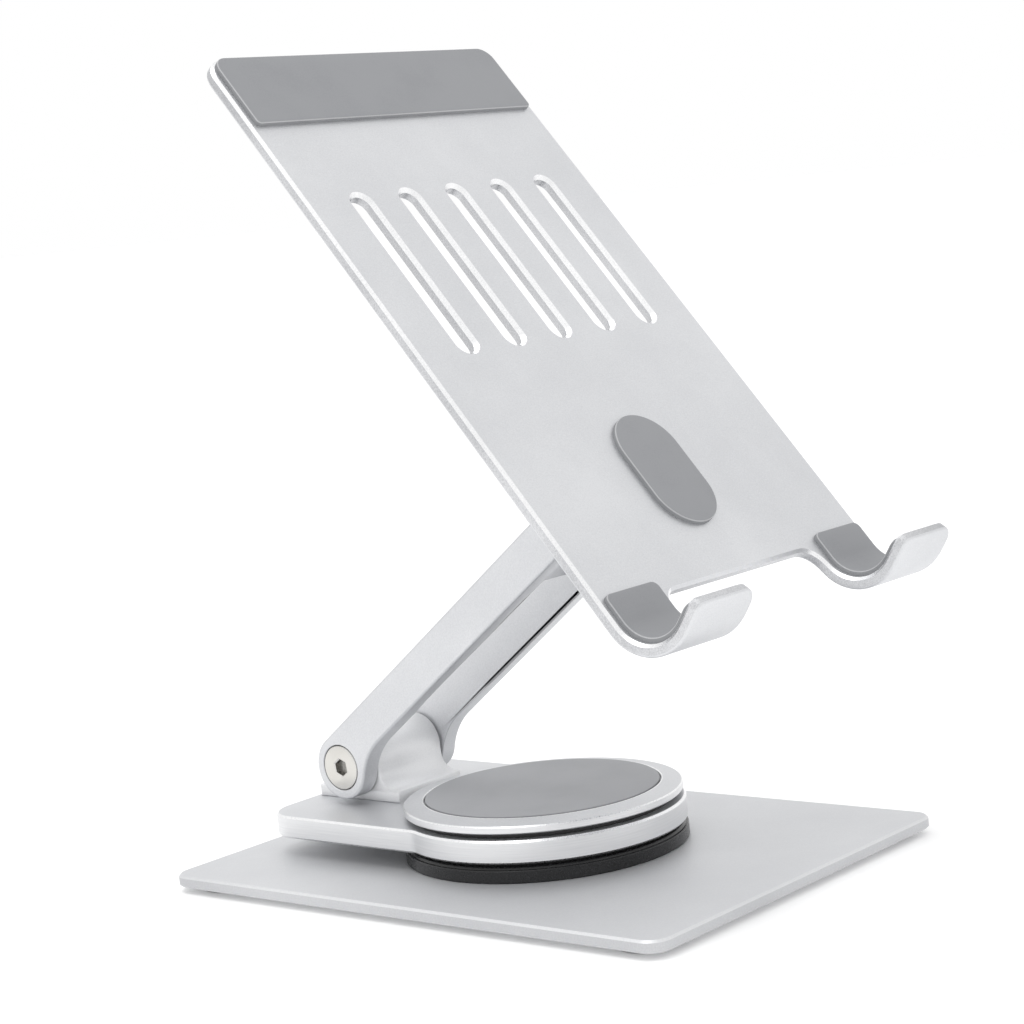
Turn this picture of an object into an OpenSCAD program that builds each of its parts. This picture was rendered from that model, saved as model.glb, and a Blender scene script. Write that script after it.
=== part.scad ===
// Tablet stand with a swivelling base, a two-hinge arm and a slotted tray.
// Millimetres, +Z up. X is the width, -Y is the side the user sits on.
// The origin is on the floor, under the centre of the swivel.

/* [Base plate] */
// Width of the base plate
base_w = 120; // [110:1:140]
// Depth of the base plate
base_d = 164; // [158:1:180]
// Thickness of the base plate
base_t = 3.2; // [3:0.1:5]
// Corner radius of the base plate
base_r = 5.5; // [3:0.5:12]
// Height of the rubber feet
foot_h = 1.6; // [1:0.1:3]
// Radius of the rubber feet
foot_r = 8; // [5:0.5:10]
// Distance from the edges of the base to the middle of a foot
foot_inset = 11.5; // [10.5:0.5:20]
// Radius of the round foot under the middle
middle_foot_r = 14; // [12:1:20]

/* [Swivel] */
// Radius of the swivel plate and of the black bearing ring under it
swivel_r = 37.5; // [36:0.5:40]
// Thickness of the bearing ring
ring_t = 4; // [3:0.1:6]
// Thickness of the swivel plate
swivel_t = 6.1; // [5:0.1:8]
// Width of the tab that carries the hinge
tab_w = 68; // [60:1:74]
// Corner radius of the tab
tab_r = 10; // [4:1:16]
// Radius of the pivot post in the middle
post_r = 12; // [11:0.5:16]
// Radius of the round cap
cap_r = 36.9; // [34:0.1:37.5]
// Thickness of the cap at its middle
cap_t = 2.9; // [2.6:0.1:4]
// Radius of the round silicone pad
round_pad_r = 31; // [28:0.5:32]

/* [Arm] */
// Angle of the arm above the floor as drawn
arm_angle = 36.5; // [30:0.5:60]
// Distance between the two hinge axes
arm_len = 118.7; // [110:0.1:125]
// Width of the arm
arm_w = 37.4; // [36.4:0.2:40]
// Thickness of one side of the arm
leg_t = 5.4; // [5.2:0.1:5.8]
// Radius of the rounded ends of the arm
boss_r = 8.8; // [8.8:0.1:9.2]
// How far the underside of the arm lies below the line between the axes
arm_below = 2.6; // [1:0.1:3]

/* [Hinges] */
// Distance of the lower hinge axis behind the swivel axis
hinge_y = 55.3; // [54:0.1:57]
// Height of a hinge axis over the plate that its bracket is screwed to
hinge_h = 10.3; // [10:0.1:12]
// Radius of the pivot screws
pin_r = 4; // [3.5:0.1:4.2]
// Radius of the round heads of the pivot screws
head_r = 6.1; // [5.8:0.1:6.4]

/* [Tray] */
// Angle of the tray above the floor as drawn
tray_angle = 50.75; // [45:0.25:60]
// Width of the tray
tray_w = 107.6; // [100:0.2:116]
// Thickness of the tray
tray_t = 3.1; // [3:0.1:3.5]
// Distance from the upper hinge axis to the top edge of the tray
tray_up = 142.9; // [135:0.1:150]
// Distance from the upper hinge axis to the edge between the hooks
tray_down = 32.8; // [30:0.1:34]
// Radius of the inside of the hooks
hook_r = 10.9; // [9:0.1:12]
// Angle through which a hook bends
hook_bend = 107; // [90:1:115]
// Length of the straight lip after the bend
lip_len = 7.8; // [7:0.1:14]
// Width of one hook
hook_w = 22.6; // [21:0.1:26]
// Number of ventilation slots
slot_n = 5; // [3:2:5]
// Distance between neighbouring slots
slot_pitch = 17.7; // [16:0.1:19]
// Width of a slot
slot_w = 5.7; // [4:0.1:7]
// Length of a slot
slot_len = 51.5; // [40:0.5:60]
// Thickness of the silicone pads
pad_t = 1.35; // [1:0.05:2]

/* [Hidden] */

silver = [0.86, 0.87, 0.88];
steel = [0.78, 0.77, 0.74];
silicone = [0.63, 0.64, 0.65];
black = [0.12, 0.12, 0.13];
brass = [0.72, 0.60, 0.36];

// Clearances
run_gap = 0.05;   // between a turning part and the part it turns in
seat_gap = 0.02;  // between a pressed-in part and its bore
face_gap = 0.05;  // between flat faces that slide past each other

// Heights of the swivel stack
base_top = foot_h + base_t;
ring_top = base_top + ring_t;
washer_t = 0.85;
swivel_z = ring_top + washer_t + face_gap;
swivel_top = swivel_z + swivel_t;
cap_gap = 1.5;
cap_z = swivel_top + cap_gap;
cap_top = cap_z + cap_t;
cap_rim_z = cap_z + 2;
round_pad_t = 1.15;
round_pad_z = cap_top + 0.25 - round_pad_t;
washer_r = 34.5;
ring_bore_r = post_r + 0.4;

// Tab of the swivel plate
tab_back = hinge_y + 16.7;
tab_blend = 7;
blend_x = tab_w / 2 + tab_blend;
blend_y = sqrt(pow(swivel_r + tab_blend, 2) - blend_x * blend_x);
blend_a = atan2(blend_y, blend_x);
swivel_chamfer = 0.5;

// Hinge brackets
barrel_r = 8.6;
friction_t = 0.5;
barrel_half = arm_w / 2 - leg_t - friction_t - 2 * face_gap;
flange_t = 3.3;
flange_half = 15;
bracket_fillet = 5;
bush_r = 5;
bush_len = 9;

// Screws
screw_r = 1.5;
screw_head_r = 2.9;
screw_head_h = 1.4;
bracket_screw_x = 5;
bracket_screw_y = 8;
post_screw_ring = 7.5;

// Pivot screw and its nut
head_t = 2.2;
head_gap = 0.2;
thread_r = 2.5;
thread_len = 4.6;
nut_sleeve = 3.6;
socket_r = 2.3;
socket_depth = 1.6;
friction_r = 7;

// Arm
leg_fillet = 18;
web_gap_r = 12.5;
web_t = 6;
web_len = 40;
leg_chamfer = 0.7;
chamfer_s0 = 31;
chamfer_s1 = arm_len - 31;
upper_y = hinge_y - arm_len * cos(arm_angle);
upper_z = swivel_top + hinge_h + arm_len * sin(arm_angle);
lower_z = swivel_top + hinge_h;

// Tray, in its own axes: Y up the tray, Z out of its face, origin on the hinge axis
face_z = hinge_h + tray_t;
tray_r = 7;
cut_r = 4.7;
hook_y = -(tray_down + 4.75);
slot_y0 = 43.2;
top_pad_y0 = 119.4;
top_pad_y1 = 141.9;
top_pad_w = 104;
oval_len = 34;
oval_w = 21;
oval_x = -1.5;
oval_y = -1.4;
hook_pad_w = 18.8;
hook_pad_top = -29.8;
hook_pad_x = tray_w / 2 - 11.3;
hook_pad_bend = hook_bend;
hook_pad_lip = 4.8;
lip_r = 4.5;

eps = 0.01;
fine = 96;

// Points of an arc round c with radius r, from angle a0 to a1, in n steps
function arc(c, r, a0, a1, n = 8) =
  [for (i = [0 : n]) c + r * [cos(a0 + (a1 - a0) * i / n), sin(a0 + (a1 - a0) * i / n)]];

// Outline of a rectangle w by d, centred, with rounded corners
function round_rect(w, d, r) = concat(
  arc([w / 2 - r, d / 2 - r], r, 0, 90),
  arc([r - w / 2, d / 2 - r], r, 90, 180),
  arc([r - w / 2, r - d / 2], r, 180, 270),
  arc([w / 2 - r, r - d / 2], r, 270, 360)
);

module slab(points, h) {
  linear_extrude(height = h) polygon(points);
}

// A rod along X from x0 to x1
module x_rod(r, x0, x1) {
  translate([x0, 0, 0]) rotate([0, 90, 0]) cylinder(r = r, h = x1 - x0, $fn = fine);
}

// An outline in (Y, Z) drawn out along X from x0 to x1
module x_slab(points, x0, x1) {
  translate([x0, 0, 0]) rotate([90, 0, 90]) linear_extrude(height = x1 - x0) polygon(points);
}

// A countersunk screw with its head flush at z = 0 and its shank going up
module flat_screw(len, grow = 0) {
  translate([0, 0, -eps * grow]) cylinder(r1 = screw_head_r + grow * run_gap, r2 = screw_r + grow * run_gap,
    h = screw_head_h, $fn = 48);
  cylinder(r = screw_r + grow * run_gap, h = len, $fn = 48);
}

// Places its children on the lower hinge axis
module at_lower() {
  translate([0, hinge_y, lower_z]) children();
}

// Places its children on the lower hinge axis with Y running up the arm and Z out of its back
module along_arm() {
  at_lower() rotate([-arm_angle, 0, 0]) mirror([0, 1, 0]) children();
}

// Places its children on the upper hinge axis
module at_upper() {
  translate([0, upper_y, upper_z]) children();
}

// Places its children in the axes of the tray
module on_tray() {
  at_upper() rotate([tray_angle, 0, 0]) children();
}

module base_plate() {
  color(silver) difference() {
    translate([0, 0, foot_h]) slab(round_rect(base_w, base_d, base_r), base_t);
    for (a = [30, 150, 270]) rotate([0, 0, a]) translate([post_screw_ring, 0, foot_h]) {
      flat_screw(base_t + 1, 1);
    }
  }
}

module rubber_feet() {
  color(silicone) for (sx = [-1, 1], sy = [-1, 1]) {
    translate([sx * (base_w / 2 - foot_inset), sy * (base_d / 2 - foot_inset), 0])
      cylinder(r = foot_r, h = foot_h, $fn = fine);
  }
}

// A round rubber foot under the middle, stuck over the heads of the post screws
module middle_foot() {
  color(silicone) cylinder(r = middle_foot_r, h = foot_h, $fn = fine);
}

// The black ring has a step near its top edge
module bearing_ring() {
  color(black) difference() {
    translate([0, 0, base_top]) union() {
      cylinder(r = swivel_r, h = ring_t - 0.6, $fn = fine);
      cylinder(r = swivel_r - 1, h = ring_t, $fn = fine);
    }
    translate([0, 0, base_top - 1]) cylinder(r = ring_bore_r, h = ring_t + 2, $fn = fine);
  }
}

module thrust_washer(z, t, r) {
  difference() {
    translate([0, 0, z]) cylinder(r = r, h = t, $fn = fine);
    translate([0, 0, z - 1]) cylinder(r = ring_bore_r, h = t + 2, $fn = fine);
  }
}

module lower_thrust_washer() {
  color(black) thrust_washer(ring_top, washer_t, washer_r);
}

module upper_thrust_washer() {
  color(black) thrust_washer(swivel_top + face_gap, cap_gap - face_gap, washer_r);
}

module pivot_post() {
  color(steel) difference() {
    translate([0, 0, base_top]) cylinder(r = post_r, h = cap_z - base_top, $fn = fine);
    for (a = [30, 150, 270]) rotate([0, 0, a])
      translate([post_screw_ring, 0, base_top - 1]) cylinder(r = screw_r + run_gap, h = 7, $fn = 48);
    for (a = [90, 210, 330]) rotate([0, 0, a])
      translate([post_screw_ring, 0, cap_z - 6]) cylinder(r = screw_r + run_gap, h = 7, $fn = 48);
  }
}

module post_screws() {
  color(steel) for (a = [30, 150, 270]) rotate([0, 0, a]) {
    translate([post_screw_ring, 0, foot_h]) flat_screw(base_t + 5.5);
  }
}

module cap_disc() {
  color(silver) difference() {
    translate([0, 0, cap_z]) rotate_extrude($fn = fine) polygon([
      [0, 0], [cap_r, 0], [cap_r, cap_rim_z - cap_z], [round_pad_r + 0.6, cap_t], [0, cap_t]
    ]);
    translate([0, 0, round_pad_z]) cylinder(r = round_pad_r + 0.3, h = cap_t, $fn = fine);
    for (a = [90, 210, 330]) rotate([0, 0, a])
      translate([post_screw_ring, 0, round_pad_z]) mirror([0, 0, 1]) flat_screw(4, 1);
  }
}

module cap_screws() {
  color(steel) for (a = [90, 210, 330]) rotate([0, 0, a]) {
    translate([post_screw_ring, 0, round_pad_z]) mirror([0, 0, 1]) flat_screw(7);
  }
}

module round_pad() {
  color(silicone) translate([0, 0, round_pad_z]) cylinder(r = round_pad_r, h = round_pad_t, $fn = fine);
}

// The swivel plate: a disc with a square tab to the back
module swivel_plate() {
  color(silver) difference() {
    union() {
      translate([0, 0, swivel_z]) cylinder(r1 = swivel_r - swivel_chamfer, r2 = swivel_r,
        h = swivel_chamfer, $fn = fine);
      translate([0, 0, swivel_z + swivel_chamfer]) cylinder(r = swivel_r, h = swivel_t - swivel_chamfer,
        $fn = fine);
      translate([0, 0, swivel_z + swivel_chamfer]) slab(concat(
        [[0, 0]],
        arc([blend_x, blend_y], tab_blend, 180 + blend_a, 180),
        arc([tab_w / 2 - tab_r, tab_back - tab_r], tab_r, 0, 90),
        arc([tab_r - tab_w / 2, tab_back - tab_r], tab_r, 90, 180),
        arc([-blend_x, blend_y], tab_blend, 0, -blend_a)
      ), swivel_t - swivel_chamfer);
    }
    translate([0, 0, swivel_z - 1]) cylinder(r = post_r + run_gap, h = swivel_t + 2, $fn = fine);
    for (sx = [-1, 1], sy = [-1, 1])
      translate([sx * bracket_screw_x, hinge_y + sy * bracket_screw_y, swivel_z + swivel_chamfer])
        flat_screw(swivel_t + 1, 1);
  }
}

// One hinge bracket, with the hinge axis at the origin and its foot at z = -hinge_h
module bracket() {
  foot_top = flange_t - hinge_h;
  outline = concat(
    [[-flange_half, -hinge_h], [flange_half, -hinge_h], [flange_half, foot_top]],
    arc([barrel_r + bracket_fillet, foot_top + bracket_fillet], bracket_fillet, 270, 180),
    arc([0, 0], barrel_r, 0, 180, 24),
    arc([-barrel_r - bracket_fillet, foot_top + bracket_fillet], bracket_fillet, 0, -90),
    [[-flange_half, foot_top]]
  );
  difference() {
    x_slab(outline, -barrel_half, barrel_half);
    x_rod(bush_r, -barrel_half - 1, barrel_half + 1);
    for (sx = [-1, 1], sy = [-1, 1])
      translate([sx * bracket_screw_x, sy * bracket_screw_y, -hinge_h - 1])
        cylinder(r = screw_r + run_gap, h = flange_t + 0.4, $fn = 48);
  }
}

// The plain bushes pressed into both ends of a barrel
module bush_pair() {
  for (x0 = [-barrel_half, barrel_half - bush_len]) difference() {
    x_rod(bush_r - seat_gap, x0, x0 + bush_len);
    x_rod(pin_r + run_gap, x0 - 1, x0 + bush_len + 1);
  }
}

module lower_bracket() {
  color(silver) at_lower() bracket();
}

module lower_bracket_screws() {
  color(steel) for (sx = [-1, 1], sy = [-1, 1])
    translate([sx * bracket_screw_x, hinge_y + sy * bracket_screw_y, swivel_z + swivel_chamfer])
      flat_screw(swivel_t - swivel_chamfer + 2.5);
}

module lower_bushes() {
  color(brass) at_lower() bush_pair();
}

// Side view of one leg of the arm: two round ends joined by a bar whose top edge is tangent to them
module leg_outline() {
  drop = arm_below + leg_fillet;
  run = sqrt(pow(boss_r + leg_fillet, 2) - drop * drop);
  bend = atan2(drop, run);
  polygon(concat(
    arc([0, 0], boss_r, 90, 360 - bend, 24),
    arc([run, -drop], leg_fillet, 180 - bend, 90, 6),
    arc([arm_len - run, -drop], leg_fillet, 90, bend, 6),
    arc([arm_len, 0], boss_r, bend - 180, 90, 24)
  ));
}

module leg(x0) {
  translate([x0, 0, 0]) rotate([90, 0, 90]) linear_extrude(height = leg_t) leg_outline();
}

// The arm: two legs, joined along the back by a web below the upper hinge
module arm() {
  leg_in = arm_w / 2 - leg_t;
  color(silver) along_arm() difference() {
    union() {
      leg(-arm_w / 2);
      leg(leg_in);
      difference() {
        translate([-leg_in - eps, arm_len - web_len, boss_r - web_t])
          cube([2 * leg_in + 2 * eps, web_len - 8, web_t]);
        translate([0, arm_len, 0]) x_rod(web_gap_r, -leg_in, leg_in);
      }
    }
    for (y = [0, arm_len]) translate([0, y, 0]) {
      x_rod(pin_r + run_gap, -arm_w, arm_w);
      x_rod(head_r + head_gap, -arm_w, head_t - arm_w / 2);
      x_rod(head_r + head_gap, arm_w / 2 - head_t, arm_w);
    }
    for (x = [-leg_in, leg_in])
      translate([x, chamfer_s0, -arm_below]) rotate([0, 45, 0])
        translate([-leg_chamfer / sqrt(2), 0, -leg_chamfer / sqrt(2)])
          cube([leg_chamfer * sqrt(2), chamfer_s1 - chamfer_s0, leg_chamfer * sqrt(2)]);
  }
}

// The pivot screw: a round head with a hexagon socket, a plain shank and a threaded end
module pivot_screw() {
  x0 = -arm_w / 2;
  shank_end = arm_w / 2 - head_t - nut_sleeve;
  difference() {
    union() {
      x_rod(head_r, x0, x0 + head_t);
      x_rod(pin_r, x0 + head_t - eps, shank_end);
      x_rod(thread_r, shank_end - eps, shank_end + thread_len);
    }
    translate([x0 - eps, 0, 0]) rotate([0, 90, 0]) cylinder(r = socket_r, h = socket_depth, $fn = 6);
  }
}

// The sleeve nut that the pivot screw is threaded into
module pivot_nut() {
  x1 = arm_w / 2;
  difference() {
    union() {
      x_rod(head_r, x1 - head_t, x1);
      x_rod(pin_r, x1 - head_t - nut_sleeve + face_gap, x1 - head_t + eps);
    }
    x_rod(thread_r + run_gap, x1 - head_t - nut_sleeve - 1, x1 - head_t - nut_sleeve + thread_len + 0.1);
    translate([x1 + eps, 0, 0]) rotate([0, -90, 0]) cylinder(r = socket_r, h = 1, $fn = 6);
  }
}

// The thin washers, squeezed between the barrel and the legs, that give a hinge its friction
module friction_pair() {
  x1 = barrel_half + face_gap;
  for (x0 = [-x1 - friction_t, x1]) difference() {
    x_rod(friction_r, x0, x0 + friction_t);
    x_rod(pin_r + run_gap, x0 - 1, x0 + friction_t + 1);
  }
}

module lower_pivot_screw() {
  color(steel) along_arm() pivot_screw();
}

module lower_pivot_nut() {
  color(steel) along_arm() pivot_nut();
}

module lower_friction_washers() {
  color(steel) along_arm() friction_pair();
}

module upper_pivot_screw() {
  color(steel) along_arm() translate([0, arm_len, 0]) pivot_screw();
}

module upper_pivot_nut() {
  color(steel) along_arm() translate([0, arm_len, 0]) pivot_nut();
}

module upper_friction_washers() {
  color(steel) along_arm() translate([0, arm_len, 0]) friction_pair();
}

// Side view of a strip that follows the inside of a hook, from radius r0 to r1,
// starting up the tray at y_top, bending through the angle b and ending in a short straight
function hook_strip(r0, r1, y_top, b, lip) = let (
  c = [hook_y, face_z + hook_r],
  out = [-cos(b), sin(b)]
) concat(
  [[y_top, face_z + hook_r - r0]],
  arc(c, r0, 270, 270 - b, 14),
  [c + r0 * [-sin(b), -cos(b)] + lip * out, c + r1 * [-sin(b), -cos(b)] + lip * out],
  arc(c, r1, 270 - b, 270, 14),
  [[y_top, face_z + hook_r - r1]]
);

// The lip of a hook, w wide, with rounded corners
module lip(x0, w, r0, r1, b, len, r) {
  translate([x0, hook_y, face_z + hook_r]) rotate([180 - b, 0, 0]) translate([0, 0, r0])
    slab(concat(
      [[0, 0], [w, 0]],
      arc([w - r, len - r], r, 0, 90, 6),
      arc([r, len - r], r, 90, 180, 6)
    ), r1 - r0);
}

// Outline of a slot or of the oval pad
function stadium(w, len) = concat(
  arc([0, (len - w) / 2], w / 2, 0, 180, 12),
  arc([0, (w - len) / 2], w / 2, 180, 360, 12)
);

// The tray: one bent plate with slots, a notch in its lower edge and two hooks
module tray_plate() {
  hook_in = tray_w / 2 - hook_w;
  color(silver) on_tray() difference() {
    union() {
      translate([0, 0, hinge_h]) slab(concat(
        arc([tray_w / 2 - tray_r, tray_up - tray_r], tray_r, 0, 90),
        arc([tray_r - tray_w / 2, tray_up - tray_r], tray_r, 90, 180),
        [[-tray_w / 2, hook_y], [-hook_in, hook_y]],
        arc([cut_r - hook_in, -tray_down - cut_r], cut_r, 180, 90),
        arc([hook_in - cut_r, -tray_down - cut_r], cut_r, 90, 0),
        [[hook_in, hook_y], [tray_w / 2, hook_y]]
      ), tray_t);
      for (x0 = [-tray_w / 2, hook_in]) {
        x_slab(hook_strip(hook_r, hook_r + tray_t, hook_y + eps, hook_bend, 1), x0, x0 + hook_w);
        lip(x0, hook_w, hook_r, hook_r + tray_t, hook_bend, lip_len, lip_r);
      }
    }
    for (i = [0 : slot_n - 1])
      translate([(i - (slot_n - 1) / 2) * slot_pitch, slot_y0 + slot_len / 2, hinge_h - 1])
        slab(stadium(slot_w, slot_len), tray_t + 2);
    for (sx = [-1, 1], sy = [-1, 1])
      translate([sx * bracket_screw_x, sy * bracket_screw_y, face_z])
        mirror([0, 0, 1]) flat_screw(tray_t + 1, 1);
  }
}

module upper_bracket() {
  color(silver) on_tray() mirror([0, 0, 1]) bracket();
}

module upper_bracket_screws() {
  color(steel) on_tray() for (sx = [-1, 1], sy = [-1, 1])
    translate([sx * bracket_screw_x, sy * bracket_screw_y, face_z])
      mirror([0, 0, 1]) flat_screw(tray_t + 2.3);
}

module upper_bushes() {
  color(brass) on_tray() bush_pair();
}

module top_pad() {
  color(silicone) on_tray() translate([0, (top_pad_y0 + top_pad_y1) / 2, face_z])
    slab(round_rect(top_pad_w, top_pad_y1 - top_pad_y0, 5), pad_t);
}

module oval_pad() {
  color(silicone) on_tray() translate([oval_x, oval_y, face_z]) slab(stadium(oval_w, oval_len), pad_t);
}

module hook_pad(side) {
  x0 = side * hook_pad_x - hook_pad_w / 2;
  color(silicone) on_tray()
    x_slab(hook_strip(hook_r - pad_t, hook_r, hook_pad_top, hook_pad_bend, hook_pad_lip), x0, x0 + hook_pad_w);
}

module left_hook_pad() {
  hook_pad(-1);
}

module right_hook_pad() {
  hook_pad(1);
}

base_plate();
rubber_feet();
middle_foot();
bearing_ring();
lower_thrust_washer();
pivot_post();
post_screws();
upper_thrust_washer();
cap_disc();
cap_screws();
round_pad();
swivel_plate();
lower_bracket();
lower_bracket_screws();
lower_bushes();
arm();
lower_pivot_screw();
lower_pivot_nut();
lower_friction_washers();
upper_pivot_screw();
upper_pivot_nut();
upper_friction_washers();
tray_plate();
upper_bracket();
upper_bracket_screws();
upper_bushes();
top_pad();
oval_pad();
left_hook_pad();
right_hook_pad();
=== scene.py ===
import math

import bmesh
import bpy
from mathutils import Matrix, Vector
from mathutils.geometry import tessellate_polygon


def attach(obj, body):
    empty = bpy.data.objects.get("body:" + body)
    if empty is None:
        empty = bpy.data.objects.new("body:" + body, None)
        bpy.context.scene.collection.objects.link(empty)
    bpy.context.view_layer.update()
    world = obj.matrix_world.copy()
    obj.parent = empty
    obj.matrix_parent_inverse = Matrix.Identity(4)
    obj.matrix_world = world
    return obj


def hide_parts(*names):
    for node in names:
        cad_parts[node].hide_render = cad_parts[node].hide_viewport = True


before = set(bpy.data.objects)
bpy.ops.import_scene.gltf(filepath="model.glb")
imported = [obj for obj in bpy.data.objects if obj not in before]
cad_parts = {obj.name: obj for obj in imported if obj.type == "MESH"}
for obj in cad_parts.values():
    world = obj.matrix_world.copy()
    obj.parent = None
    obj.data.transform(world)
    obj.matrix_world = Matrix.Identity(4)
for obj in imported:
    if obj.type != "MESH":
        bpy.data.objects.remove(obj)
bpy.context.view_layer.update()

# ---------------------------------------------------------------- sizes, in millimetres, as in the CAD
MM = 0.001
BASE_W, BASE_D, BASE_R, FOOT_H, BASE_T = 120.0, 164.0, 5.5, 1.6, 3.2
BASE_TOP = FOOT_H + BASE_T
RING_T, SWIVEL_T, SWIVEL_R = 4.0, 6.1, 37.5
RING_TOP = BASE_TOP + RING_T
SWIVEL_Z = RING_TOP + 0.9
SWIVEL_TOP = SWIVEL_Z + SWIVEL_T
CAP_Z = SWIVEL_TOP + 1.5
CAP_R, CAP_T = 36.9, 2.9
CAP_TOP = CAP_Z + CAP_T
PAD_R, PAD_PROUD = 31.0, 0.25
POCKET_R, POCKET_D = PAD_R + 0.3, 0.9
SCREW_R, POST_RING_R, BRACKET_SCREW_X, BRACKET_SCREW_Y = 1.55, 7.5, 5, 8
FOOT_R, FOOT_INSET, MIDDLE_FOOT_R = 8.0, 11.5, 14.0
RING_BORE_R, POST_BORE_R = 12.4, 12.05
HINGE_Y, HINGE_H = 55.3, 10.3
ARM_ANGLE, ARM_LEN, ARM_W, LEG_T, BOSS_R, ARM_BELOW = 36.5, 118.7, 37.4, 5.4, 8.8, 2.6
LEG_IN = ARM_W / 2 - LEG_T
TRAY_ANGLE, TRAY_W, TRAY_T, TRAY_UP, TRAY_DOWN = 50.75, 107.6, 3.1, 142.9, 32.8
HOOK_R, HOOK_BEND, LIP, HOOK_W = 10.9, 107.0, 7.8, 22.6
FACE_Z = HINGE_H + TRAY_T
HOOK_Y = -(TRAY_DOWN + 4.75)
BARREL = LEG_IN - 0.6
HEAD_R, SOCKET_R, SHANK_R, THREAD_R = 6.1, 2.3, 4.0, 2.5

phi, theta = math.radians(ARM_ANGLE), math.radians(TRAY_ANGLE)
LOWER = Vector((0, HINGE_Y, SWIVEL_TOP + HINGE_H))
UPPER = LOWER + Vector((0, -ARM_LEN * math.cos(phi), ARM_LEN * math.sin(phi)))
WORLD = Matrix.Identity(4)
AT_LOWER = Matrix.Translation(LOWER)
ON_TRAY = Matrix.Translation(UPPER) @ Matrix.Rotation(theta, 4, "X")
# Y up the arm, Z out of its back
ON_ARM = AT_LOWER @ Matrix((
    (1, 0, 0, 0),
    (0, -math.cos(phi), math.sin(phi), 0),
    (0, math.sin(phi), math.cos(phi), 0),
    (0, 0, 0, 1),
))


# ---------------------------------------------------------------- outlines
def arc(cx, cy, r, a0, a1, n=12):
    return [(cx + r * math.cos(math.radians(a0 + (a1 - a0) * i / n)),
             cy + r * math.sin(math.radians(a0 + (a1 - a0) * i / n))) for i in range(n + 1)]


def circle(r, cx=0.0, cy=0.0, n=96):
    return [(cx + r * math.cos(2 * math.pi * i / n), cy + r * math.sin(2 * math.pi * i / n))
            for i in range(n)]


def hexagon(r):
    return [(r * math.cos(math.radians(60 * i)), r * math.sin(math.radians(60 * i))) for i in range(6)]


def round_rect(x0, x1, y0, y1, r, n=12):
    rs = r if isinstance(r, (tuple, list)) else (r,) * 4  # from the corner at x1, y1 round to x1, y0
    return (arc(x1 - rs[0], y1 - rs[0], rs[0], 0, 90, n) + arc(x0 + rs[1], y1 - rs[1], rs[1], 90, 180, n)
            + arc(x0 + rs[2], y0 + rs[2], rs[2], 180, 270, n)
            + arc(x1 - rs[3], y0 + rs[3], rs[3], 270, 360, n))


def stadium(w, length, cx=0.0, cy=0.0, n=20):
    h = (length - w) / 2
    return arc(cx, cy + h, w / 2, 0, 180, n) + arc(cx, cy - h, w / 2, 180, 360, n)


def clean(points):
    out = []
    for p in points:
        if not out or (Vector(p) - Vector(out[-1])).length > 1e-4:
            out.append(p)
    if (Vector(out[0]) - Vector(out[-1])).length < 1e-4:
        out.pop()
    return out


def area(points):
    return sum(a[0] * b[1] - b[0] * a[1] for a, b in zip(points, points[1:] + points[:1])) / 2


def inset(points, d):
    """The outline moved to its left by d, which is into the material for both outer outlines and holes."""
    out = []
    for i, p in enumerate(points):
        a, b, c = Vector(points[i - 1]), Vector(p), Vector(points[(i + 1) % len(points)])
        e1, e2 = (b - a).normalized(), (c - b).normalized()
        n1, n2 = Vector((-e1.y, e1.x)), Vector((-e2.y, e2.x))
        n = (n1 + n2).normalized()
        q = b + n * (d / max(0.35, n.dot(n1)))
        out.append((q.x, q.y))
    return out


# ---------------------------------------------------------------- mesh building
def prism(bm, outer, profile, holes=(), hole_profile=None, bands=None, caps=(0, 0), hole_bands=None):
    """A plate with shaped edges. profile lists (z, inset) from the bottom to the top.

    bands, hole_bands and caps give the material index of each step of the profile and of the two faces.
    """
    outer = clean(outer)
    if area(outer) < 0:
        outer.reverse()
    loops = [(outer, profile, bands)]
    for h in holes:
        h = clean(h)
        if area(h) > 0:
            h.reverse()
        loops.append((h, hole_profile or profile, hole_bands if hole_bands is not None else bands))
    ends = ([], [])
    for pts, prof, mats in loops:
        rings = []
        for z, d in prof:
            ring = inset(pts, d) if abs(d) > 1e-9 else pts
            rings.append([bm.verts.new((x, y, z)) for x, y in ring])
        n = len(pts)
        for k in range(len(rings) - 1):
            for i in range(n):
                j = (i + 1) % n
                f = bm.faces.new((rings[k][i], rings[k][j], rings[k + 1][j], rings[k + 1][i]))
                f.material_index = mats[k] if mats else 0
        ends[0].append(rings[0])
        ends[1].append(rings[-1])
    for side in (0, 1):
        flat = [v for ring in ends[side] for v in ring]
        tris = tessellate_polygon([[v.co.copy() for v in ring] for ring in ends[side]])
        for t in tris:
            vs = [flat[i] for i in t]
            if len(set(vs)) < 3:
                continue
            n = (vs[1].co - vs[0].co).cross(vs[2].co - vs[0].co)
            if n.length < 1e-9:
                continue
            if (n.z > 0) != (side == 1):
                vs.reverse()
            try:
                f = bm.faces.new(vs)
            except ValueError:
                continue
            f.material_index = caps[side]


def lathe(bm, points, n=192, mats=None):
    """A closed outline of (r, z) turned about Z. Points on the axis become single vertices."""
    rings = []
    for r, z in points:
        if r < 1e-6:
            rings.append([bm.verts.new((0, 0, z))])
        else:
            rings.append([bm.verts.new((x, y, z)) for x, y in circle(r, n=n)])
    count = len(points)
    for k in range(count):
        a, b = rings[k], rings[(k + 1) % count]
        if len(a) == 1 and len(b) == 1:
            continue
        for i in range(n):
            j = (i + 1) % n
            vs = ([a[0], b[j], b[i]] if len(a) == 1 else [a[i], a[j], b[0]] if len(b) == 1
                  else [a[i], a[j], b[j], b[i]])
            f = bm.faces.new(vs)
            f.material_index = mats[k] if mats else 0


def move(bm, matrix, verts=None):
    bmesh.ops.transform(bm, matrix=matrix, verts=verts or bm.verts[:])


def since(bm, before):
    """The vertices made since the set before was taken."""
    return [v for v in bm.verts if v not in before]


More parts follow.
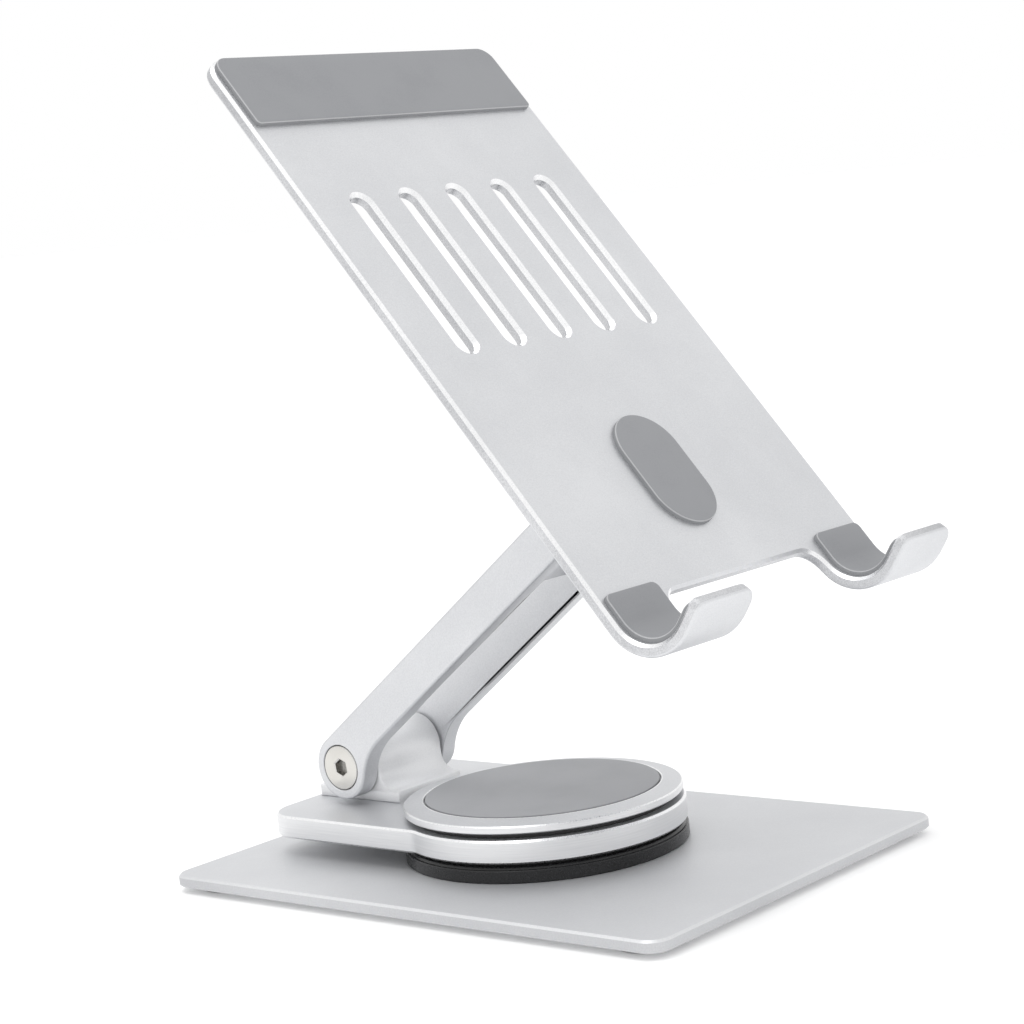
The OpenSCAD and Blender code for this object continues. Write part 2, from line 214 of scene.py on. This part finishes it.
def along_x(bm, verts=None):
    """Turns a shape drawn in X, Y and built up Z so that it is drawn in Y, Z and built up X."""
    move(bm, Matrix(((0, 0, 1, 0), (1, 0, 0, 0), (0, 1, 0, 0), (0, 0, 0, 1))), verts)


def piece(name, bm, matrix, body, mats, nodes, angle=32.0, weld=True):
    """Finishes a mesh as a piece that rides on a body and stands for some CAD nodes."""
    if weld:
        bmesh.ops.remove_doubles(bm, verts=bm.verts[:], dist=1e-4)
    bmesh.ops.transform(bm, matrix=Matrix.Scale(MM, 4) @ matrix, verts=bm.verts[:])
    bmesh.ops.recalc_face_normals(bm, faces=bm.faces[:])
    mesh = bpy.data.meshes.new(name)
    bm.to_mesh(mesh)
    bm.free()
    for m in mats:
        mesh.materials.append(m)
    for p in mesh.polygons:
        p.use_smooth = True
    mesh.set_sharp_from_angle(angle=math.radians(angle))
    obj = bpy.data.objects.new(name, mesh)
    bpy.context.scene.collection.objects.link(obj)
    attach(obj, body)
    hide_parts(*nodes)
    return obj


# ---------------------------------------------------------------- materials
def tree(name):
    m = bpy.data.materials.new(name)
    m.use_nodes = True
    nt = m.node_tree
    bsdf = next(n for n in nt.nodes if n.type == "BSDF_PRINCIPLED")
    return m, nt, bsdf


def noise(nt, scale, detail=3.0, rough=0.55, stretch=(1, 1, 1)):
    tc = nt.nodes.new("ShaderNodeTexCoord")
    mp = nt.nodes.new("ShaderNodeMapping")
    mp.inputs["Scale"].default_value = stretch
    nt.links.new(tc.outputs["Object"], mp.inputs["Vector"])
    n = nt.nodes.new("ShaderNodeTexNoise")
    n.inputs["Scale"].default_value = scale
    n.inputs["Detail"].default_value = detail
    n.inputs["Roughness"].default_value = rough
    nt.links.new(mp.outputs["Vector"], n.inputs["Vector"])
    return n.outputs["Fac"]


def ramp(nt, fac, lo, hi, c0, c1):
    r = nt.nodes.new("ShaderNodeValToRGB")
    r.color_ramp.elements[0].position = lo
    r.color_ramp.elements[1].position = hi
    r.color_ramp.elements[0].color = (*c0, 1)
    r.color_ramp.elements[1].color = (*c1, 1)
    nt.links.new(fac, r.inputs["Fac"])
    return r.outputs["Color"]


def span(nt, fac, lo, hi, a, b):
    r = nt.nodes.new("ShaderNodeMapRange")
    r.inputs["From Min"].default_value = lo
    r.inputs["From Max"].default_value = hi
    r.inputs["To Min"].default_value = a
    r.inputs["To Max"].default_value = b
    nt.links.new(fac, r.inputs["Value"])
    return r.outputs["Result"]


def bump(nt, bsdf, height, strength, distance):
    b = nt.nodes.new("ShaderNodeBump")
    b.inputs["Strength"].default_value = strength
    b.inputs["Distance"].default_value = distance
    nt.links.new(height, b.inputs["Height"])
    nt.links.new(b.outputs["Normal"], bsdf.inputs["Normal"])


def metal(name, c0, c1, rough, grain, strength, metallic=1.0):
    """Metal with a fine grain: colour clouds, speckled roughness and a bump, all in the grain's real size."""
    m, nt, bsdf = tree(name)
    bsdf.inputs["Metallic"].default_value = metallic
    g = noise(nt, grain, 2.0, 0.6)
    c = noise(nt, 18.0, 4.0, 0.6)
    mix = nt.nodes.new("ShaderNodeMath")
    mix.operation = "MULTIPLY_ADD"
    mix.inputs[1].default_value = 0.5
    nt.links.new(g, mix.inputs[0])
    half = nt.nodes.new("ShaderNodeMath")
    half.operation = "MULTIPLY"
    half.inputs[1].default_value = 0.5
    nt.links.new(c, half.inputs[0])
    nt.links.new(half.outputs[0], mix.inputs[2])
    nt.links.new(ramp(nt, mix.outputs[0], 0.38, 0.62, c0, c1), bsdf.inputs["Base Color"])
    nt.links.new(span(nt, g, 0.3, 0.7, rough[0], rough[1]), bsdf.inputs["Roughness"])
    bump(nt, bsdf, g, strength, 0.00003)
    return m


def turned(name, c0, c1, rough, axis, pitch=0.00035, strength=0.25):
    """Metal with fine tool marks that run round an axis, drawn from the distance along it or from it."""
    m, nt, bsdf = tree(name)
    bsdf.inputs["Metallic"].default_value = 1.0
    stretch = {"Z": (0.02, 0.02, 1), "X": (1, 0.02, 0.02)}[axis]
    g = noise(nt, 1 / pitch, 2.0, 0.5, stretch)
    f = noise(nt, 3500.0, 2.0, 0.5)
    nt.links.new(ramp(nt, g, 0.3, 0.7, c0, c1), bsdf.inputs["Base Color"])
    nt.links.new(span(nt, f, 0.3, 0.7, rough[0], rough[1]), bsdf.inputs["Roughness"])
    bump(nt, bsdf, g, strength, 0.00001)
    return m


def rubber(name, c0, c1, rough, grain=2600.0, strength=0.35, sheen=0.0):
    m, nt, bsdf = tree(name)
    g = noise(nt, grain, 3.0, 0.6)
    c = noise(nt, 60.0, 3.0, 0.5)
    mix = nt.nodes.new("ShaderNodeMath")
    mix.operation = "ADD"
    nt.links.new(g, mix.inputs[0])
    nt.links.new(c, mix.inputs[1])
    nt.links.new(ramp(nt, mix.outputs[0], 0.75, 1.25, c0, c1), bsdf.inputs["Base Color"])
    nt.links.new(span(nt, g, 0.3, 0.7, rough[0], rough[1]), bsdf.inputs["Roughness"])
    bsdf.inputs["Specular IOR Level"].default_value = 0.4
    bsdf.inputs["Sheen Weight"].default_value = sheen
    bump(nt, bsdf, g, strength, 0.00003)
    return m


blast = metal("blasted_aluminium", (0.63, 0.637, 0.655), (0.73, 0.737, 0.752),
              (0.42, 0.52), 2600.0, 0.4, metallic=0.85)
edge = metal("milled_edge", (0.46, 0.465, 0.48), (0.70, 0.705, 0.72), (0.38, 0.50), 3000.0, 0.4)
# darker, less metallic copy of the aluminium for the legs' inner lower chamfers: painted shade for the
# shadowed base they reflect
chamfer_painted_shade = metal("leg_chamfer_painted_shade", (0.50, 0.505, 0.52), (0.58, 0.585, 0.60),
               (0.50, 0.60), 2600.0, 0.3, metallic=0.5)
# lighter, less metallic copy of the aluminium for the hinge brackets: painted light on the barrels where the
# arm shades them
bracket_painted_light = metal("bracket_aluminium_painted_light", (0.78, 0.785, 0.80), (0.86, 0.865, 0.875),
                      (0.42, 0.52), 2600.0, 0.3, metallic=0.4)
# darker copy of the blasted aluminium for the base plate's side wall and hole walls: painted shade against
# the white floor they reflect
base_wall_painted_shade = metal("base_wall_painted_shade", (0.52, 0.525, 0.54), (0.62, 0.625, 0.64),
                  (0.42, 0.52), 2600.0, 0.3, metallic=0.8)
cut = metal("bright_cut_edge", (0.82, 0.825, 0.835), (0.94, 0.94, 0.945), (0.24, 0.34), 2400.0, 0.15)
soft = metal("soft_base_edge", (0.68, 0.685, 0.70), (0.76, 0.765, 0.775),
             (0.40, 0.50), 2600.0, 0.3, metallic=0.8)
plate_top = metal("blasted_base", (0.63, 0.637, 0.655), (0.70, 0.707, 0.722),
                  (0.42, 0.52), 2800.0, 0.3, metallic=0.6)
turned_side = turned("turned_aluminium", (0.72, 0.725, 0.735), (0.78, 0.783, 0.79),
                     (0.30, 0.38), "Z", strength=0.12)
screw_face = turned("turned_steel", (0.64, 0.625, 0.59), (0.74, 0.725, 0.69),
                    (0.30, 0.38), "X", 0.0004, 0.3)
# near-black steel for the deep walls and floors of the hexagon sockets: painted shade inside the sockets
socket_painted_shade = metal("socket_steel_painted_shade", (0.12, 0.118, 0.11), (0.40, 0.39, 0.37), (0.30, 0.42), 1800.0, 0.3)
steel = metal("ground_steel", (0.60, 0.59, 0.57), (0.70, 0.69, 0.66), (0.24, 0.36), 2200.0, 0.2)
bronze = metal("sintered_bronze", (0.50, 0.36, 0.17), (0.62, 0.46, 0.24), (0.36, 0.52), 2600.0, 0.4)
silicone = rubber("grey_silicone", (0.262, 0.267, 0.280), (0.282, 0.287, 0.300), (0.56, 0.66))
# lighter copy of the grey silicone for the pads' rounded top edges: a painted highlight line
silicone_rim_painted_highlight = rubber("grey_silicone_rim_painted_highlight", (0.40, 0.405, 0.415), (0.46, 0.465, 0.475), (0.45, 0.55))
# lighter copy of the grey silicone for the round pad: painted light against the tray's shade over it
silicone_round_painted_light = rubber("grey_silicone_round_painted_light", (0.335, 0.34, 0.355), (0.365, 0.37, 0.385), (0.50, 0.60))
# darker copy of the grey silicone for the pads' side walls: painted shade
silicone_wall_painted_shade = rubber("grey_silicone_wall_painted_shade", (0.22, 0.225, 0.235), (0.26, 0.265, 0.275), (0.6, 0.7))
foot_rubber = rubber("foot_rubber", (0.22, 0.222, 0.228), (0.28, 0.282, 0.288), (0.6, 0.75), 1800.0, 0.5)
black = rubber("black_acetal", (0.006, 0.006, 0.0065), (0.012, 0.012, 0.013), (0.24, 0.34), 2200.0, 0.15)

# ---------------------------------------------------------------- base
def bracket_holes(y):
    """The four screw holes under a hinge bracket centred at y."""
    return [circle(SCREW_R, sx * BRACKET_SCREW_X, y + sy * BRACKET_SCREW_Y, 32)
            for sx in (-1, 1) for sy in (-1, 1)]


bm = bmesh.new()
holes = [circle(SCREW_R, POST_RING_R * math.cos(math.radians(a)), POST_RING_R * math.sin(math.radians(a)), 32)
         for a in (30, 150, 270)]
# the side wall and the screw hole walls take the darker copy, which is painted shade
prism(bm, round_rect(-BASE_W / 2, BASE_W / 2, -BASE_D / 2, BASE_D / 2, BASE_R, 16),
      [(FOOT_H, 0.55), (FOOT_H + 0.55, 0), (BASE_TOP - 0.6, 0), (BASE_TOP, 0.6)],
      holes, [(FOOT_H, 1.4), (FOOT_H + 1.4, 0), (BASE_TOP, 0)], [1, 2, 1], (0, 0), [2, 2])
piece("base_plate_v", bm, WORLD, "base", [plate_top, soft, base_wall_painted_shade], ["base_plate"], 20)


def foot(bm, r, rim, n):
    """A round foot that stands on a rim, with its middle a little off the desk."""
    lathe(bm, [(0, 0.25), (r - rim - 0.4, 0.25), (r - rim, 0), (r - 0.6, 0), (r - 0.15, 0.18), (r, 0.5),
               (r, FOOT_H), (0, FOOT_H)], n)


bm = bmesh.new()
for sx in (-1, 1):
    for sy in (-1, 1):
        v0 = set(bm.verts)
        foot(bm, FOOT_R, 2.4, 96)
        move(bm, Matrix.Translation((sx * (BASE_W / 2 - FOOT_INSET), sy * (BASE_D / 2 - FOOT_INSET), 0)),
             since(bm, v0))
piece("rubber_feet_v", bm, WORLD, "base", [foot_rubber], ["rubber_feet"])

bm = bmesh.new()
foot(bm, MIDDLE_FOOT_R, 2.6, 128)
piece("middle_foot_v", bm, WORLD, "base", [foot_rubber], ["middle_foot"])

bm = bmesh.new()
lathe(bm, [(RING_BORE_R, BASE_TOP), (SWIVEL_R - 0.3, BASE_TOP), (SWIVEL_R, BASE_TOP + 0.3),
           (SWIVEL_R, RING_TOP - 0.9), (SWIVEL_R - 0.2, RING_TOP - 0.65), (SWIVEL_R - 0.7, RING_TOP - 0.6),
           (SWIVEL_R - 0.9, RING_TOP - 0.25), (SWIVEL_R - 1.2, RING_TOP), (RING_BORE_R, RING_TOP)])
piece("bearing_ring_v", bm, WORLD, "base", [black], ["bearing_ring"])

bm = bmesh.new()
lathe(bm, [(0, CAP_Z), (CAP_R - 0.3, CAP_Z), (CAP_R, CAP_Z + 0.3), (CAP_R, CAP_Z + 1.75),
           (CAP_R - 0.3, CAP_Z + 2.05), (POCKET_R + 0.45, CAP_TOP - 0.05), (POCKET_R + 0.2, CAP_TOP),
           (POCKET_R + 0.05, CAP_TOP - 0.15),
           (POCKET_R, CAP_TOP - POCKET_D), (0, CAP_TOP - POCKET_D)],
      mats=[0, 1, 1, 2, 0, 2, 2, 0, 0, 0])
piece("cap_disc_v", bm, WORLD, "base", [blast, turned_side, cut], ["cap_disc"], 18)

# the round pad takes the lighter silicone copy, which is painted light
bm = bmesh.new()
# the pad's wall in the pocket (material 1) takes painted shade
lathe(bm, [(0, CAP_TOP - POCKET_D), (PAD_R, CAP_TOP - POCKET_D), (PAD_R, CAP_TOP),
           (PAD_R - 0.06, CAP_TOP + 0.14), (PAD_R - 0.2, CAP_TOP + 0.23), (PAD_R - 0.5, CAP_TOP + PAD_PROUD),
           (0, CAP_TOP + PAD_PROUD)],
      mats=[0, 1, 1, 0, 0, 0, 0])
piece("round_pad_v", bm, WORLD, "base", [silicone_round_painted_light, silicone_wall_painted_shade], ["round_pad"])

# ---------------------------------------------------------------- turntable
TAB_W, TAB_R, TAB_BLEND, TAB_BACK = 68.0, 10.0, 7.0, HINGE_Y + 16.7
# the fillet between the disc and the tab touches both
blend_x = TAB_W / 2 + TAB_BLEND
blend_y = math.sqrt((SWIVEL_R + TAB_BLEND) ** 2 - blend_x * blend_x)
blend_a = math.degrees(math.atan2(blend_y, blend_x))
outline = (arc(blend_x, blend_y, TAB_BLEND, 180 + blend_a, 180, 12)
           + arc(TAB_W / 2 - TAB_R, TAB_BACK - TAB_R, TAB_R, 0, 90, 16)
           + arc(TAB_R - TAB_W / 2, TAB_BACK - TAB_R, TAB_R, 90, 180, 16)
           + arc(-blend_x, blend_y, TAB_BLEND, 0, -blend_a, 12)
           + arc(0, 0, SWIVEL_R, 180 - blend_a, 360 + blend_a, 150)[1:-1])
bm = bmesh.new()
prism(bm, outline, [(SWIVEL_Z, 0.55), (SWIVEL_Z + 0.55, 0), (SWIVEL_TOP - 0.55, 0), (SWIVEL_TOP, 0.55)],
      [circle(POST_BORE_R, n=96)] + bracket_holes(HINGE_Y), [(SWIVEL_Z, 0), (SWIVEL_TOP, 0)],
      [1, 2, 1], (0, 0), [2])
piece("swivel_plate_v", bm, WORLD, "turntable", [blast, cut, turned_side], ["swivel_plate"], 20)


def bracket(name, matrix, body, flip, nodes):
    """A hinge barrel of radius r on a foot of half length h, with fillets of radius f between them."""
    top = 3.3 - HINGE_H
    r, f, h = 8.6, 5.0, 15.0
    out = ([(-h, -HINGE_H), (h, -HINGE_H), (h, top - 0.3), (h - 0.3, top)]
           + arc(r + f, top + f, f, 270, 180, 14) + arc(0, 0, r, 0, 180, 48)
           + arc(-r - f, top + f, f, 0, -90, 14)
           + [(-h + 0.3, top), (-h, top - 0.3)])
    if flip:
        out = [(y, -z) for y, z in out]
    bm = bmesh.new()
    prism(bm, out, [(-BARREL, 0.4), (-BARREL + 0.4, 0), (BARREL - 0.4, 0), (BARREL, 0.4)],
          [circle(5.0, n=64)], [(-BARREL, 0.3), (-BARREL + 0.3, 0), (BARREL - 0.3, 0), (BARREL, 0.3)])
    along_x(bm)
    piece(name, bm, matrix, body, [bracket_painted_light], nodes, 50)


bracket("lower_bracket_v", AT_LOWER, "turntable", False, ["lower_bracket"])
bracket("upper_bracket_v", ON_TRAY, "tray", True, ["upper_bracket"])

# ---------------------------------------------------------------- arm
fillet, lip_cut, cut_end, cut_full = 18.0, 0.85, 31, 36
drop = ARM_BELOW + fillet
run = math.sqrt((BOSS_R + fillet) ** 2 - drop * drop)
bend = math.degrees(math.atan2(drop, run))
straight = [(s, -ARM_BELOW) for s in (cut_end, cut_full, ARM_LEN - cut_full, ARM_LEN - cut_end)]
leg = (arc(0, 0, BOSS_R, 90, 360 - bend, 64) + arc(run, -drop, fillet, 180 - bend, 90, 20) + straight
       + arc(ARM_LEN - run, -drop, fillet, 90, bend, 20) + arc(ARM_LEN, 0, BOSS_R, bend - 180, 90, 64))
bm = bmesh.new()
for side in (-1, 1):
    v0 = set(bm.verts)
    x_out, x_in = ARM_W / 2, LEG_IN
    # the inner lower chamfer (material 3) takes the darker copy, which is painted shade
    prism(bm, leg, [(x_in, 0.15), (x_in + 0.15, 0), (x_out - 0.7, 0), (x_out - 0.4, 0.1), (x_out - 0.1, 0.4),
                    (x_out, 0.7)],
          [circle(HEAD_R + 0.2, 0, 0, 72), circle(HEAD_R + 0.2, ARM_LEN, 0, 72)],
          [(x_in, 0), (x_out - 0.2, 0), (x_out, 0.2)], [3, 0, 0, 0, 0], hole_bands=[2, 0])
    new = since(bm, v0)
    # the cut along the inner lower edge, which runs out to nothing at both ends
    for v in new:
        along = cut_full - 1 < v.co.x < ARM_LEN - cut_full + 1
        if along and v.co.y < 0.5 - ARM_BELOW and v.co.z < x_in + 0.1:
            v.co.y, v.co.z = lip_cut - ARM_BELOW, x_in
        elif along and v.co.y < 0.5 - ARM_BELOW and v.co.z < x_in + 0.2:
            v.co.y, v.co.z = -ARM_BELOW, x_in + lip_cut
    along_x(bm, new)
    if side < 0:
        move(bm, Matrix.Scale(-1, 4, (1, 0, 0)), new)
# the web between the legs, which ends in an arc round the upper hinge
WEB_T, WEB_GAP, WEB_LEN = 6.0, 12.5, 40.0
high = math.degrees(math.asin(BOSS_R / WEB_GAP))
low = math.degrees(math.asin((BOSS_R - WEB_T) / WEB_GAP))
v0 = set(bm.verts)
prism(bm, arc(ARM_LEN, 0, WEB_GAP, 180 - low, 180 - high, 10)
      + [(ARM_LEN - WEB_LEN, BOSS_R), (ARM_LEN - WEB_LEN, BOSS_R - WEB_T)], [(-LEG_IN, 0), (LEG_IN, 0)])
along_x(bm, since(bm, v0))
arm = piece("arm_v", bm, ON_ARM, "arm", [blast, cut, edge, chamfer_painted_shade], ["arm"], 35, weld=False)
# the flat sides and the thin inner edges are shaded flat
for p in arm.data.polygons:
    p.use_smooth = p.material_index != 3 and abs(p.normal.x) < 0.999


def pivot_screw(name, s, node):
    """Round head with a hexagon socket at the left end, plain shank."""
    bm = bmesh.new()
    x0 = -ARM_W / 2
    # the socket's deep wall and floor take the near-black steel, which is painted shade
    prism(bm, circle(HEAD_R, n=96), [(x0 + 1.6, 0), (x0 + 0.35, 0), (x0 + 0.1, 0.12), (x0, 0.4)][::-1],
          [hexagon(SOCKET_R)], [(x0, 0.35), (x0 + 0.3, 0), (x0 + 1.6, 0)], [1, 1, 1], (0, 0), [1, 2])
    prism(bm, circle(HEAD_R, n=96), [(x0 + 1.6, 0), (x0 + 2.2, 0)], caps=(2, 1), bands=[1])
    prism(bm, circle(SHANK_R, n=64), [(x0 + 2.2, 0), (12.9, 0)], bands=[1])
    prism(bm, circle(THREAD_R, n=48), [(12.9, 0), (17.5, 0)], bands=[1])
    along_x(bm)
    at = ON_ARM @ Matrix.Translation((0, s, 0))
    piece(name, bm, at, "arm", [screw_face, steel, socket_painted_shade], [node], 25)


def pivot_nut(name, s, node):
    """The same round head at the right end, on a sleeve that takes the screw's thread."""
    bm = bmesh.new()
    x1 = ARM_W / 2
    # the socket's deep wall and floor take the near-black steel, which is painted shade
    prism(bm, circle(HEAD_R, n=96), [(x1 - 1.0, 0), (x1 - 0.35, 0), (x1 - 0.1, 0.12), (x1, 0.4)],
          [hexagon(SOCKET_R)], [(x1 - 1.0, 0), (x1 - 0.3, 0), (x1, 0.35)], [1, 1, 1], (0, 0), [2, 1])
    prism(bm, circle(HEAD_R, n=96), [(x1 - 2.2, 0), (x1 - 1.0, 0)], caps=(1, 2), bands=[1])
    prism(bm, circle(SHANK_R, n=64), [(12.95, 0), (x1 - 2.2, 0)], [circle(THREAD_R + 0.05, n=48)], bands=[1],
          caps=(1, 1))
    along_x(bm)
    at = ON_ARM @ Matrix.Translation((0, s, 0))
    piece(name, bm, at, "arm", [screw_face, steel, socket_painted_shade], [node], 25)


pivot_screw("lower_pivot_screw_v", 0, "lower_pivot_screw")
pivot_screw("upper_pivot_screw_v", ARM_LEN, "upper_pivot_screw")
pivot_nut("lower_pivot_nut_v", 0, "lower_pivot_nut")
pivot_nut("upper_pivot_nut_v", ARM_LEN, "upper_pivot_nut")

# ---------------------------------------------------------------- tray
MID_R = HOOK_R + TRAY_T / 2
BEND = math.radians(HOOK_BEND)


def roll(v):
    """Bends the flat blank of the tray round into its hooks."""
    t = HOOK_Y - v.co.y
    if t <= 0:
        return
    a = min(t / MID_R, BEND)
    rest = max(0.0, t - BEND * MID_R)
    r = HOOK_R + FACE_Z - v.co.z
    v.co.y, v.co.z = (HOOK_Y - r * math.sin(a) - rest * math.cos(a),
                      FACE_Z + HOOK_R - r * math.cos(a) + rest * math.sin(a))


def roll_all(bm, steps=36):
    for i in range(steps + 1):
        y = HOOK_Y - BEND * MID_R * i / steps
        bmesh.ops.bisect_plane(bm, geom=bm.verts[:] + bm.edges[:] + bm.faces[:], plane_co=(0, y, 0),
                               plane_no=(0, 1, 0), dist=1e-5)
    for v in bm.verts:
        roll(v)


hook_in = TRAY_W / 2 - HOOK_W
tip_y = HOOK_Y - BEND * MID_R - LIP
root_l, root_r, near, far, corner, w = 4.5, 6.5, 2.4, 5.2, 7, TRAY_W / 2
blank = (arc(w - corner, TRAY_UP - corner, corner, 0, 90, 16)
         + arc(corner - w, TRAY_UP - corner, corner, 90, 180, 16)
         + arc(near - w, tip_y + near, near, 180, 270, 10)
         + arc(-hook_in - far, tip_y + far, far, 270, 360, 14)
         + arc(root_l - hook_in, -TRAY_DOWN - root_l, root_l, 180, 90, 16)
         + arc(hook_in - root_r, -TRAY_DOWN - root_r, root_r, 90, 0, 16)
         + arc(hook_in + near, tip_y + near, near, 180, 270, 10)
         + arc(w - far, tip_y + far, far, 270, 360, 14))
SLOT_W, SLOT_LEN, SLOT_STEP, SLOT_Y = 6.0, 51.8, 17.7, 68.95
slots = [stadium(SLOT_W, SLOT_LEN, SLOT_STEP * i, SLOT_Y) for i in (-2, -1, 0, 1, 2)]
bm = bmesh.new()
prism(bm, blank, [(HINGE_H, 0.6), (HINGE_H + 0.1, 0.3), (HINGE_H + 0.3, 0.1), (HINGE_H + 0.6, 0),
                  (FACE_Z - 0.75, 0), (FACE_Z, 0.75)],
      slots + bracket_holes(0), [(HINGE_H, 0.2), (HINGE_H + 0.2, 0), (FACE_Z - 1.0, 0), (FACE_Z, 1.0)],
      [0, 0, 0, 2, 1], (0, 0), [0, 2, 1])
# the edge between the hooks has no bright cut
for f in bm.faces:
    c = f.calc_center_median()
    if f.material_index == 1 and c.y < 1.5 - TRAY_DOWN and abs(c.x) < hook_in - 3:
        f.material_index = 0
roll_all(bm)
piece("tray_plate_v", bm, ON_TRAY, "tray", [blast, cut, edge], ["tray_plate"], 28)

# the pads' side walls (material 1) take painted shade
PAD = 1.35
# the rounded top edge (material 2) takes a painted highlight
pad_edge = [(0, 0), (PAD - 0.3, 0), (PAD - 0.05, 0.2), (PAD, 0.4)]


def finish_pad(name, bm, node):
    piece(name, bm, ON_TRAY, "tray", [silicone, silicone_wall_painted_shade, silicone_rim_painted_highlight], [node], 50)


def flat_pad(name, outline, node):
    bm = bmesh.new()
    prism(bm, outline, [(FACE_Z + z, d) for z, d in pad_edge], bands=[1, 2, 0])
    finish_pad(name, bm, node)


flat_pad("top_pad_v", round_rect(-52, 52, 119.4, 141.9, (4.2, 4.2, 1.2, 1.2)), "top_pad")
flat_pad("oval_pad_v", stadium(21, 34, -1.5, -1.4, 28), "oval_pad")


HOOK_PAD_IN, HOOK_PAD_OUT, HOOK_PAD_TOP, HOOK_PAD_LIP = 33.0, 52.2, -29.8, 4.8


def hook_pad(name, x0, x1, node):
    """A pad cut from the flat and rolled into its hook with the same bend as the tray."""
    bm = bmesh.new()
    end = HOOK_Y - BEND * MID_R - HOOK_PAD_LIP
    prism(bm, round_rect(x0, x1, end, HOOK_PAD_TOP, 2.0), [(FACE_Z + z, d) for z, d in pad_edge],
          bands=[1, 2, 0])
    roll_all(bm)
    finish_pad(name, bm, node)


hook_pad("left_hook_pad_v", -HOOK_PAD_OUT, -HOOK_PAD_IN, "left_hook_pad")
hook_pad("right_hook_pad_v", HOOK_PAD_IN, HOOK_PAD_OUT, "right_hook_pad")

# ---------------------------------------------------------------- carried-over CAD nodes
carried = {
    "lower_thrust_washer": black, "upper_thrust_washer": black, "pivot_post": steel, "post_screws": steel,
    "cap_screws": steel, "lower_bracket_screws": steel, "upper_bracket_screws": steel,
    "lower_bushes": bronze, "upper_bushes": bronze,
    "lower_friction_washers": steel, "upper_friction_washers": steel,
}
for name, mat in carried.items():
    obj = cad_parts[name]
    obj.data.materials.clear()
    obj.data.materials.append(mat)

# ---------------------------------------------------------------- floor, light, camera
m, nt, bsdf = tree("floor")
bsdf.inputs["Roughness"].default_value = 0.9
bsdf.inputs["Emission Color"].default_value = (1, 1, 1, 1)
bsdf.inputs["Emission Strength"].default_value = 0.14
floor_colour = ramp(nt, noise(nt, 3.0), 0.3, 0.7, (0.93, 0.93, 0.93), (0.95, 0.95, 0.95))
nt.links.new(floor_colour, bsdf.inputs["Base Color"])
FAR = 60.0
mesh = bpy.data.meshes.new("floor")
mesh.from_pydata([(-FAR, -FAR, 0), (FAR, -FAR, 0), (FAR, FAR, 0), (-FAR, FAR, 0)], [], [(0, 1, 2, 3)])
mesh.materials.append(m)
floor = bpy.data.objects.new("floor", mesh)
bpy.context.scene.collection.objects.link(floor)

scene = bpy.context.scene
scene.view_settings.view_transform = "Standard"
world = bpy.data.worlds.new("studio")
world.use_nodes = True
world.node_tree.nodes["Background"].inputs["Color"].default_value = (1, 1, 1, 1)
world.node_tree.nodes["Background"].inputs["Strength"].default_value = 1.0
scene.world = world


def lamp(name, pos, target, size, power):
    d = bpy.data.lights.new(name, "AREA")
    d.shape = "RECTANGLE"
    d.size, d.size_y = size
    d.energy = power
    o = bpy.data.objects.new(name, d)
    o.location = pos
    o.rotation_euler = (Vector(target) - Vector(pos)).to_track_quat("-Z", "Y").to_euler()
    scene.collection.objects.link(o)


lamp("key", (-0.3, 0.2, 1.4), (0, 0, 0.05), (0.7, 0.7), 4.0)

# the camera looks at the stand from its front left, a little from above
yaw, pitch, tilt = math.radians(-48.681), math.radians(6.928), math.radians(-5.911)
back = Vector((math.sin(yaw) * math.cos(pitch), -math.cos(yaw) * math.cos(pitch), math.sin(pitch)))
right = Vector((math.cos(yaw), math.sin(yaw), 0))
up = back.cross(right)
right2 = math.cos(tilt) * right + math.sin(tilt) * up
up2 = -math.sin(tilt) * right + math.cos(tilt) * up
data = bpy.data.cameras.new("camera")
data.sensor_width = 36
data.lens = 90.73
data.clip_start, data.clip_end = 0.01, 50
cam = bpy.data.objects.new("camera", data)
rot = Matrix((right2, up2, back)).transposed().to_4x4()
cam.matrix_world = Matrix.Translation((-0.49929, -0.43834, 0.17424)) @ rot
scene.collection.objects.link(cam)
scene.camera = cam
